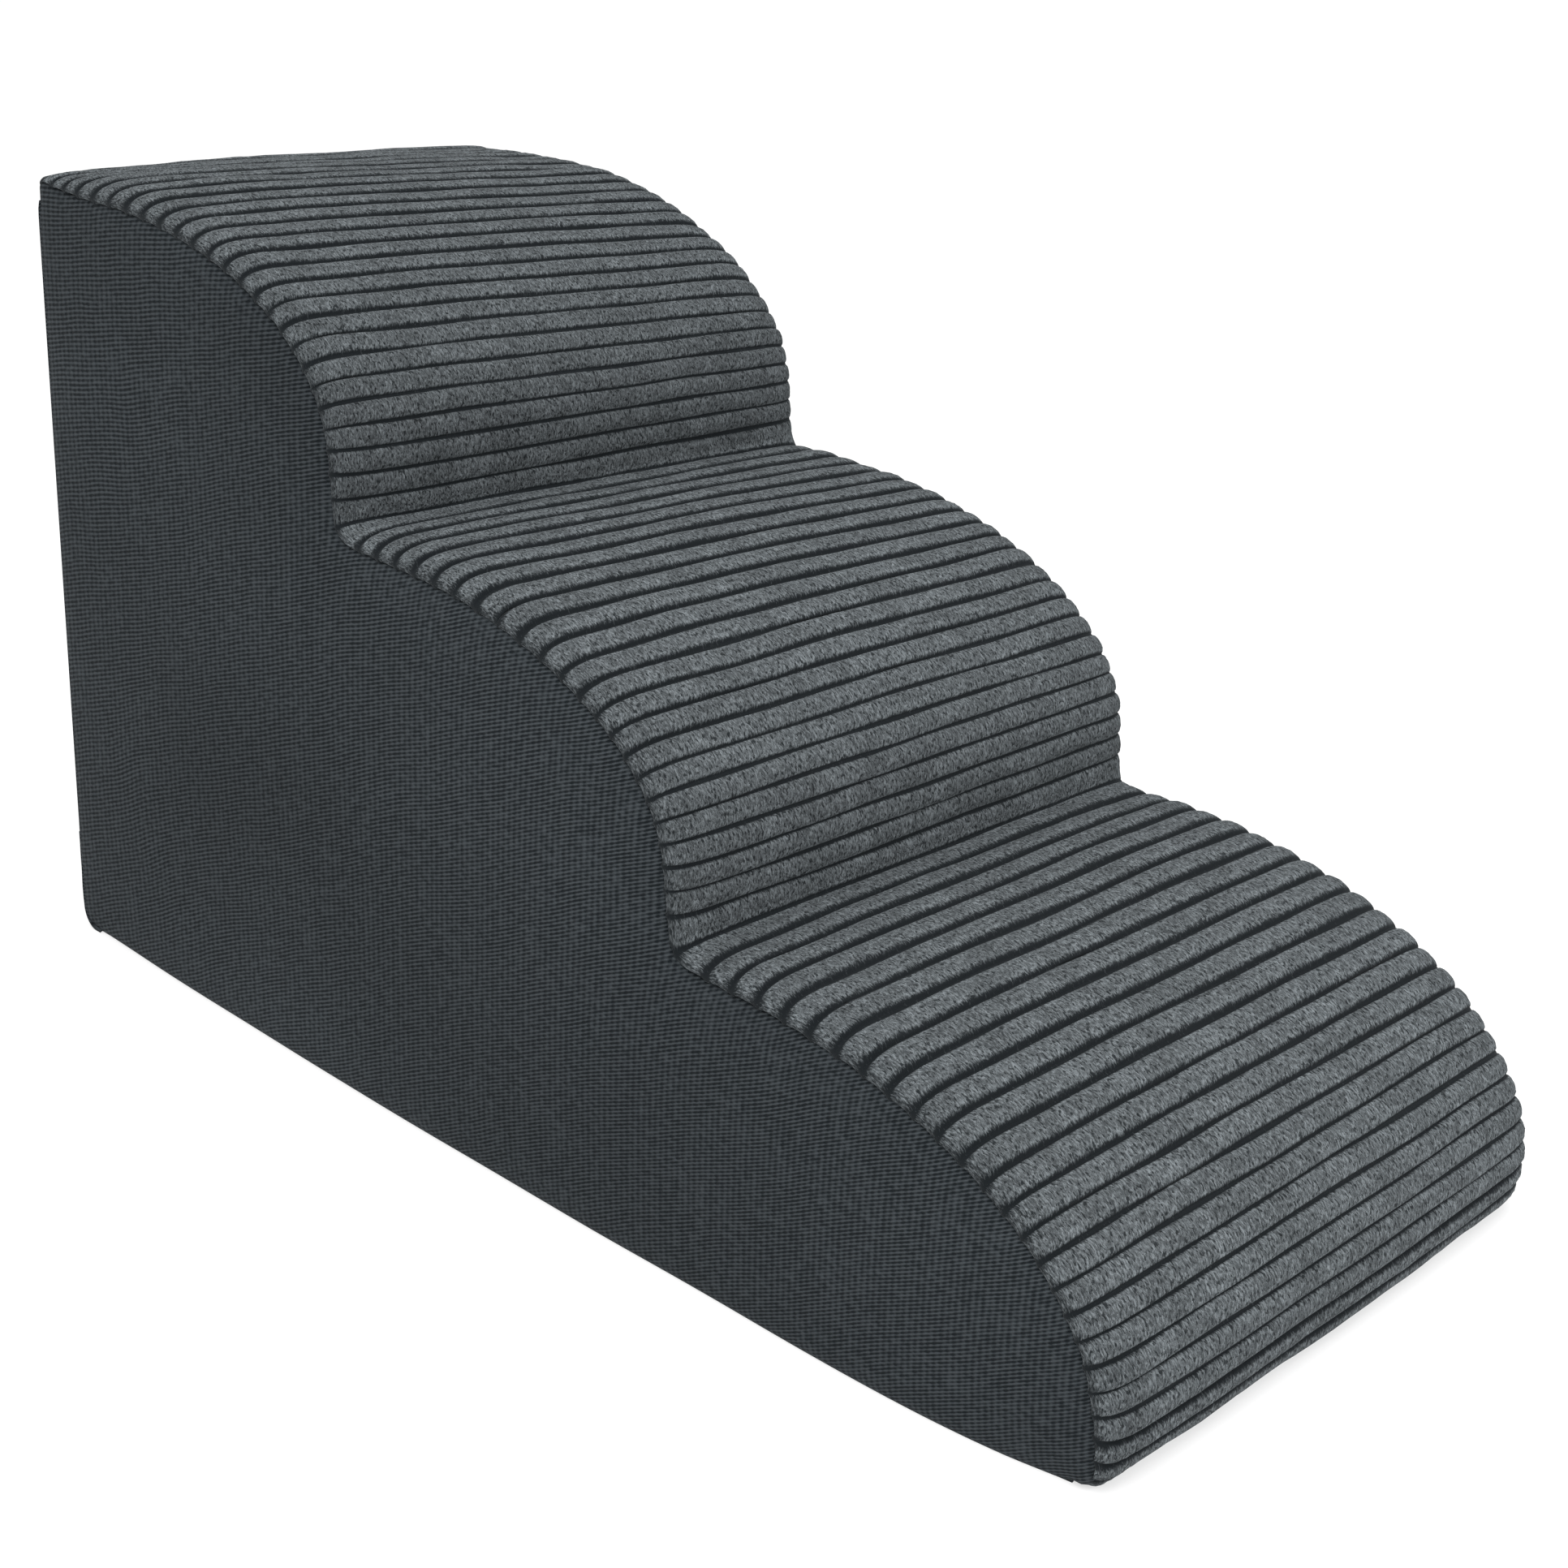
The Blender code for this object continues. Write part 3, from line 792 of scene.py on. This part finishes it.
def back_panel():
    """The woven back above the zip, and its size."""
    low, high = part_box("back_panel")
    size = (high.x - low.x - 1.0 * MM, high.z - low.z + 1.5 * MM)

    def lift(u, v):
        across, up = dist_to_edges(u, v, size)
        out = 2.6 * MM * (1 - near(across, 30 * MM)) * (1 - near(up, 40 * MM))
        out -= 3.2 * MM * near(across, 3.0 * MM)
        out -= 1.6 * MM * near((1 - v) * size[1], 2.4 * MM)
        x, z = low.x + u * size[0], low.z + v * size[1]
        out += 0.8 * MM * smooth_noise(x, z, 0.0, 0.09, 2.0) * min(1.0, across / (12 * MM))
        return out

    corner = (low.x + 0.5 * MM, high.y - 0.4 * MM, low.z - 0.3 * MM)
    return back_grid("back_panel_cloth", corner, size, (70, 84), BACK_WEAVE, lift, CLOTH), size


def back_skirt():
    """The low strip of the back that turns under the heel, and its length from top to bottom."""
    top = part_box("back_skirt")[1].z
    line = []
    for step in range(6):
        swell = 0.5 * MM * math.sin(math.pi * step / 6)
        line.append((BACK - 0.4 * MM + swell, top - (top - HEEL_RADIUS) * step / 6))
    line += arc(HEEL, (HEEL_RADIUS - 0.4 * MM, HEEL_RADIUS - 0.3 * MM), 0, -90, 12)
    line.append((BACK - HEEL_RADIUS - LIP, 0.3 * MM))
    columns = 70
    verts = []
    for y, z in line:
        for column in range(columns + 1):
            u = column / columns
            across = min(u, 1 - u) * 2 * HALF
            pull = 3.0 * MM * near(across, 3.0 * MM)
            x = -HALF + 0.5 * MM + u * (2 * HALF - 1.0 * MM)
            puff = 0.5 * MM * smooth_noise(x, z, 0.0, 0.04, 8.0) if z > HEEL_RADIUS else 0.0
            verts.append((x, y - pull + puff, max(z, 0.3 * MM)))
    faces = grid_faces(len(line) - 1, columns + 1, turned=True)
    made = mesh_object("back_skirt_cloth", verts, faces, BACK_WEAVE)
    if made.data.polygons[0].normal.y < 0:
        made.data.flip_normals()
    thicken(made, CLOTH)
    length = sum(math.dist(a, b) for a, b in zip(line, line[1:]))
    return made, length


def base_cloth():
    """The underside, cut to the bowed edges of the side panels, with its size and area."""
    low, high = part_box("base_panel")
    length = high.y - low.y
    columns, rows = 50, 110
    verts = []
    area = 0.0
    for row in range(rows + 1):
        y = low.y + length * row / rows
        ends = (1 - near(y - low.y, 26 * MM)) * (1 - near(BACK - y, 30 * MM))
        half = HALF - 4.4 * MM + floor_bulge(y) * ends
        area += 2 * half * length / (rows + 1)
        for column in range(columns + 1):
            x = half * (2 * column / columns - 1)
            z = 0.45 * MM + 0.15 * MM * smooth_noise(x, y, 0.0, 0.05, 3.0)
            z += 0.9 * MM * near(half - abs(x), 1.5 * MM)
            verts.append((x, y, z))
    made = mesh_object("base_cloth", verts, grid_faces(rows, columns + 1, turned=True), BASE)
    thicken(made, 1.0 * MM)
    return made, (2 * HALF + 2 * FLOOR_BULGE, length), area


def grip_dots():
    """Moulded rubber dots on the underside, in staggered rows."""
    low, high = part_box("base_panel")
    dots = bmesh.new()
    sides = 10
    turns = [2 * math.pi * i / sides for i in range(sides)]
    row = 0
    y = low.y + DOT_PITCH
    while y < high.y - DOT_PITCH / 2:
        x = low.x + DOT_PITCH * (1.0 if row % 2 else 0.5)
        while x < high.x - DOT_PITCH / 3:
            rings = []
            for radius, z in ((2.6 * MM, 0.75 * MM), (2.3 * MM, 0.30 * MM), (1.5 * MM, 0.05 * MM)):
                ring = [(x + radius * math.cos(turn), y + radius * math.sin(turn), z) for turn in turns]
                rings.append([dots.verts.new(place) for place in ring])
            for upper, lower in zip(rings, rings[1:]):
                for i in range(sides):
                    after = (i + 1) % sides
                    dots.faces.new((upper[i], lower[i], lower[after], upper[after]))
            dots.faces.new(rings[-1])
            dots.faces.new(list(reversed(rings[0])))
            x += DOT_PITCH
        y += DOT_PITCH * 0.87
        row += 1
    bmesh.ops.recalc_face_normals(dots, faces=dots.faces)
    mesh = bpy.data.meshes.new("grip_dots")
    dots.to_mesh(mesh)
    dots.free()
    mesh.shade_smooth()
    return linked("grip_dots", mesh, RUBBER)


def foam_block():
    """The foam inside the cover: the step outline with its long edges rounded off."""
    back, floor_gap, side_gap = BACK - 12 * MM, 5 * MM, 9 * MM
    outline = offset_line(profile, 13 * MM, 6 * MM)
    outline = [(min(y, back), max(z, floor_gap)) for y, z in outline]
    outline += [(FRONT + 30 * MM, floor_gap), (back - 10 * MM, floor_gap), (back, floor_gap + 10 * MM)]
    kept = [outline[0]]
    for point in outline[1:]:
        if math.dist(point, kept[-1]) > 2 * MM:
            kept.append(point)
    shape = bmesh.new()
    side = shape.faces.new([shape.verts.new((-HALF + side_gap, y, z)) for y, z in kept])
    grown = bmesh.ops.extrude_face_region(shape, geom=[side])
    moved = [item for item in grown["geom"] if isinstance(item, bmesh.types.BMVert)]
    bmesh.ops.translate(shape, verts=moved, vec=(2 * (HALF - side_gap), 0, 0))
    bmesh.ops.recalc_face_normals(shape, faces=shape.faces)
    mesh = bpy.data.meshes.new("foam_block")
    shape.to_mesh(mesh)
    shape.free()
    made = linked("foam_block", mesh, FOAM)
    rounding = made.modifiers.new("Cut edges", "BEVEL")
    rounding.width = 4 * MM
    rounding.segments = 3
    rounding.limit_method = "ANGLE"
    rounding.angle_limit = math.radians(60)
    mesh.shade_smooth()
    mesh.set_sharp_from_angle(angle=math.radians(50))
    return made


# ---------------------------------------------------------------- zip and sewing
def coil(name, sign):
    """One row of the zip as a real coil whose turns hook between the other row's."""
    low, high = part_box("zip_coil_" + name)
    inner = ZIP_Z - sign * 0.55 * MM
    outer = ZIP_Z + sign * 3.2 * MM
    centre_y, centre_z = (low.y + high.y) / 2, (inner + outer) / 2
    half_y = (high.y - low.y) / 2 - 0.25 * MM
    half_z = abs(outer - inner) / 2 - 0.3 * MM
    start = 0.0 if sign > 0 else 0.5
    places = []
    for step in range(int((high.x - low.x) / COIL_PITCH) * COIL_STEPS):
        angle = 2 * math.pi * step / COIL_STEPS
        x = low.x + (start + step / COIL_STEPS) * COIL_PITCH
        if x < high.x:
            places.append((x, centre_y + half_y * math.cos(angle), centre_z + half_z * math.sin(angle)))
    curve = wire_curve("coil_" + name, COIL_WIRE, 2)
    add_spline(curve, places)
    return linked("coil_" + name, curve, COIL)


def edge_sink(x):
    """How far the back's cloth draws in beside its side seams."""
    return 3.4 * MM * near(HALF - abs(x), 3.0 * MM)


def stitch_row(name, points):
    """Lock stitches along a line on the back: short raised loops that dip into the cloth."""
    loop = ((0.0, -0.7), (0.15, 0.5), (0.5, 0.84), (0.85, 0.5), (1.0, -0.7))
    curve = wire_curve(name, STITCH_THREAD, 2)
    for start, end in zip(points, points[1:]):
        start, end = Vector(start), Vector(end)
        way = (end - start).normalized()
        count = int((end - start).length / (STITCH + STITCH_GAP))
        step = (end - start).length / max(count, 1)
        for index in range(count):
            first = start + way * (index * step + STITCH_GAP / 2)
            places = []
            for share, rise in loop:
                place = first + way * (share * (step - STITCH_GAP))
                place.y += rise * STITCH_THREAD - edge_sink(place.x)
                places.append(place)
            add_spline(curve, places)
    return linked(name, curve, SEAM_THREAD)


def cloth_tab(name, node, finish, thickness, lift):
    """A small cloth patch on the back: sewn down all round, and raised in the middle."""
    low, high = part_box(node)
    size = (high.x - low.x, high.z - low.z)

    def rise(u, v):
        across, up = dist_to_edges(u, v, size)
        edge = min(across, up)
        out = lift * (1 - near(edge, 1.2 * MM))
        out -= 0.3 * MM * bell(edge - TAB_MARGIN, 0.5 * MM)
        out -= edge_sink(low.x + u * size[0])
        return out + 0.12 * MM * smooth_noise(u, v, 0.0, 0.3, 1.0)

    return back_grid(name, (low.x, high.y - 0.3 * MM, low.z), size, (28, 28), finish, rise, thickness)


# ---------------------------------------------------------------- assembly
foam = foam_block()
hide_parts("foam_core")
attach(foam, "ramp")
cover = corduroy_cover()
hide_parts("tread_panel")
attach(cover, "ramp")

for side_name, side_sign in (("left", -1), ("right", 1)):
    panel = side_panel("side_cloth_" + side_name, side_sign)
    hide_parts("side_panel_" + side_name)
    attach(panel, "ramp")
    seam_piece = seam_line("seam_stitches_" + side_name, side_sign)
    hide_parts("side_seam_" + side_name)
    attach(seam_piece, "ramp")

back, back_size = back_panel()
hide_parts("back_panel")
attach(back, "ramp")
skirt, skirt_length = back_skirt()
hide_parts("back_skirt")
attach(skirt, "ramp")
base, base_size, base_area = base_cloth()
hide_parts("base_panel")
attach(base, "ramp")
dots = grip_dots()
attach(dots, "ramp")

for row_name, row_sign in (("upper", 1), ("lower", -1)):
    row = coil(row_name, row_sign)
    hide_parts("zip_coil_" + row_name)
    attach(row, "ramp")

for tab_name in ("left", "right"):
    tab = cloth_tab("end_tab_cloth_" + tab_name, "zip_end_tab_" + tab_name, BACK_WEAVE, 0.8 * MM, 0.35 * MM)
    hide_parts("zip_end_tab_" + tab_name)
    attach(tab, "ramp")
    low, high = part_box("zip_end_tab_" + tab_name)
    left, right = low.x + TAB_MARGIN, high.x - TAB_MARGIN
    bottom, top = low.z + TAB_MARGIN, high.z - TAB_MARGIN
    corners = ((left, bottom), (right, bottom), (right, top), (left, top), (left, bottom))
    loop = [(x, high.y - 0.05 * MM, z) for x, z in corners]
    stitches = stitch_row("tab_stitches_" + tab_name, loop)
    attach(stitches, "ramp")

label = cloth_tab("care_label_cloth", "care_label", LABEL, 0.35 * MM, 0.9 * MM)
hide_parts("care_label")
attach(label, "ramp")
low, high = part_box("care_label")

# Rows of stitching along both edges of the zip opening
opening = {"upper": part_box("back_panel")[0].z + ZIP_MARGIN, "lower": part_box("back_skirt")[1].z - ZIP_MARGIN}
for row_name, z in opening.items():
    line = [(x, BACK + 0.25 * MM, z) for x in (-HALF + 16 * MM, HALF - 16 * MM)]
    stitches = stitch_row("zip_stitches_" + row_name, line)
    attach(stitches, "ramp")

# The zip's other parts keep their own shape and take a better finish
kept_nodes = {"zip_tape_upper": TAPE, "zip_tape_lower": TAPE,
              "top_stop_upper": STEEL, "top_stop_lower": STEEL, "bottom_stop": STEEL,
              "zip_slider": PAINTED, "zip_pull": PAINTED}
for node, finish in kept_nodes.items():
    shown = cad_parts[node]
    shown.data.materials.clear()
    shown.data.materials.append(finish)


# ---------------------------------------------------------------- studio
def soft_light(name, place, aim, size, power):
    data = bpy.data.lights.new(name, "AREA")
    data.shape = "RECTANGLE"
    data.size, data.size_y = size
    data.energy = power
    made = bpy.data.objects.new(name, data)
    made.location = place
    made.rotation_euler = (Vector(aim) - Vector(place)).to_track_quat("-Z", "Y").to_euler()
    collection.objects.link(made)


def studio_floor():
    """A wide white floor that glows a little, so that shadows on it stay faint."""
    n = Nodes("studio_floor")
    tone = n.noise(n.coordinates, 1.2, 2.0)
    colour = n.ramp(tone, 0.3, 0.7, (0.39, 0.39, 0.39), (0.40, 0.40, 0.40))
    material = n.finish(colour, 0.9, Specular_IOR_Level=0.0,
                        Emission_Color=(1.0, 1.0, 1.0, 1.0), Emission_Strength=0.62)
    verts = [(-40, -40, 0), (40, -40, 0), (40, 40, 0), (-40, 40, 0)]
    return mesh_object("studio_floor", verts, [(0, 1, 2, 3)], material, smooth=False)


studio_floor()
bpy.context.scene.view_settings.view_transform = "Standard"
world = bpy.data.worlds.new("studio")
bpy.context.scene.world = world
world.use_nodes = True
background = world.node_tree.nodes["Background"]
background.inputs["Color"].default_value = (1.0, 1.0, 1.0, 1.0)
background.inputs["Strength"].default_value = 1.08
soft_light("key", (-1.2, -1.0, 2.6), (0.0, -0.05, 0.2), (1.6, 1.6), 50)
soft_light("side", (-1.6, -1.4, 0.45), (-0.1, -0.2, 0.1), (1.0, 0.8), 4)
soft_light("fill", (0.8, -1.5, 0.45), (0.0, -0.3, 0.1), (0.9, 0.9), 9)

# Camera: its place, the way it looks in degrees, its lens in mm, and how far its view is shifted
CAMERA_PLACE = (-0.7063, -0.7637, 0.5029)
CAMERA_AZIMUTH = 44.377
CAMERA_PITCH = 12.492
CAMERA_LENS = 54.27
CAMERA_SHIFT = (0.0094, -0.19)
camera_data = bpy.data.cameras.new("camera")
camera_data.sensor_width = 36.0
camera_data.lens = CAMERA_LENS
camera_data.shift_x, camera_data.shift_y = CAMERA_SHIFT
camera = bpy.data.objects.new("camera", camera_data)
camera.location = CAMERA_PLACE
camera.rotation_euler = (math.radians(90 - CAMERA_PITCH), 0.0, math.radians(-CAMERA_AZIMUTH))
collection.objects.link(camera)
bpy.context.scene.camera = camera

bpy.context.view_layer.update()
